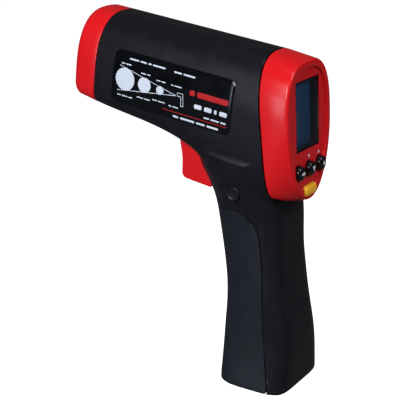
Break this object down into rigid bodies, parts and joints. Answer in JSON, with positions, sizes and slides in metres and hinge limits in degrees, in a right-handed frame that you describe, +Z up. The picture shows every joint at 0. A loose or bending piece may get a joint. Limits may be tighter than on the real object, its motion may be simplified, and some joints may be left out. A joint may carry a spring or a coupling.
{
  "type": "infrared thermometer",
  "caption": "Pistol-grip infrared thermometer: barrel with a lens at the front, a display and push keys at the back, a trigger, and a handle whose front is a hinged battery door.",
  "frame": {"origin": "centre of the flat base of the handle, on the surface it stands on", "axes": "+Z up, +X towards the display and the user, -X towards the target, -Y the user's left; the barrel points along -X and is pitched 7 degrees nose up"},
  "size_m": [0.1336, 0.0478, 0.1902],
  "materials": {
    "housing_black": "satin moulded black, fine spark texture",
    "door_grey": "matte soft-touch, slightly blue grey",
    "accent_red": "semi-gloss moulded red",
    "key_black": "gloss black",
    "key_yellow": "semi-gloss amber yellow",
    "label_film": null,
    "steel": "zinc plated",
    "brass": "turned",
    "board_green": "solder mask",
    "clear_window": "clear acrylic sheet",
    "lens_white": "milky moulded plastic",
    "lcd_blue": "unlit liquid crystal display, dark blue",
    "foam_grey": "open foam",
    "battery_skin": "printed metal jacket",
    "wire_red": "vinyl insulation",
    "wire_black": "vinyl insulation"
  },
  "bodies": {
    "housing": {"housing_left": "housing_black", "housing_right": "housing_black", "label_left": "label_film", "label_right": "label_film", "release_spring_left": "steel", "release_spring_right": "steel", "front_cap": "accent_red", "lens_cone": "housing_black", "ir_lens": "lens_white", "lens_ring": "housing_black", "sensor_tube": "brass", "sensor_can": "steel", "laser_module": "brass", "main_board": "board_green", "buzzer": "housing_black", "rear_bezel": "accent_red", "lcd_frame": "housing_black", "display_window": "clear_window", "lcd_panel": "lcd_blue", "backlight": "lens_white", "display_board": "board_green", "key_switch_left": "housing_black", "key_switch_middle": "housing_black", "key_switch_right": "housing_black", "key_switch_yellow": "housing_black", "board_screw_left": "steel", "board_screw_right": "steel", "trigger_pin": "steel", "trigger_spring": "steel", "trigger_switch": "housing_black", "door_hinge_pin": "steel", "battery_9v": "battery_skin", "battery_snap": "housing_black", "battery_lead_red": "wire_red", "battery_lead_black": "wire_black", "ribbon_cable": "lens_white", "housing_screw_1": "steel", "housing_screw_2": "steel", "housing_screw_3": "steel", "housing_screw_4": "steel", "housing_screw_5": "steel"},
    "trigger": {"trigger": "accent_red"},
    "battery_door": {"battery_door": "door_grey", "door_pad": "foam_grey"},
    "release_button_left": {"release_button_left": "housing_black"},
    "release_button_right": {"release_button_right": "housing_black"},
    "key_left": {"key_left": "key_black"},
    "key_middle": {"key_middle": "key_black"},
    "key_right": {"key_right": "key_black"},
    "key_yellow": {"key_yellow": "key_yellow"}
  },
  "joints": [
    {"name": "trigger_pull", "type": "hinge", "parent": "housing", "child": "trigger", "pos_m": [-0.04185, 0, 0.12916], "axis": [0, -1, 0], "range_deg": [0, 7], "stiffness_Nm_per_rad": 0.6, "springref_deg": -4.58, "deforming": ["trigger_spring"]},
    {"name": "battery_door_swing", "type": "hinge", "parent": "housing", "child": "battery_door", "pos_m": [0.01005, 0, 0.00204], "axis": [0, -1, 0], "range_deg": [0, 70]},
    {"name": "release_button_left_press", "type": "slide", "parent": "housing", "child": "release_button_left", "axis": [0, 1, 0], "range_m": [0, 0.0015], "stiffness_N_per_m": 800, "springref_m": -0.001, "deforming": ["release_spring_left"]},
    {"name": "release_button_right_press", "type": "slide", "parent": "housing", "child": "release_button_right", "axis": [0, -1, 0], "range_m": [0, 0.0015], "stiffness_N_per_m": 800, "springref_m": -0.001, "deforming": ["release_spring_right"]},
    {"name": "key_left_press", "type": "slide", "parent": "housing", "child": "key_left", "axis": [-0.9988, 0, -0.0489], "range_m": [0, 0.0008], "stiffness_N_per_m": 900, "springref_m": -0.0006},
    {"name": "key_middle_press", "type": "slide", "parent": "housing", "child": "key_middle", "axis": [-0.9988, 0, -0.0489], "range_m": [0, 0.0008], "stiffness_N_per_m": 900, "springref_m": -0.0006},
    {"name": "key_right_press", "type": "slide", "parent": "housing", "child": "key_right", "axis": [-0.9988, 0, -0.0489], "range_m": [0, 0.0008], "stiffness_N_per_m": 900, "springref_m": -0.0006},
    {"name": "key_yellow_press", "type": "slide", "parent": "housing", "child": "key_yellow", "axis": [-0.9988, 0, -0.0489], "range_m": [0, 0.0008], "stiffness_N_per_m": 900, "springref_m": -0.0006}
  ]
}
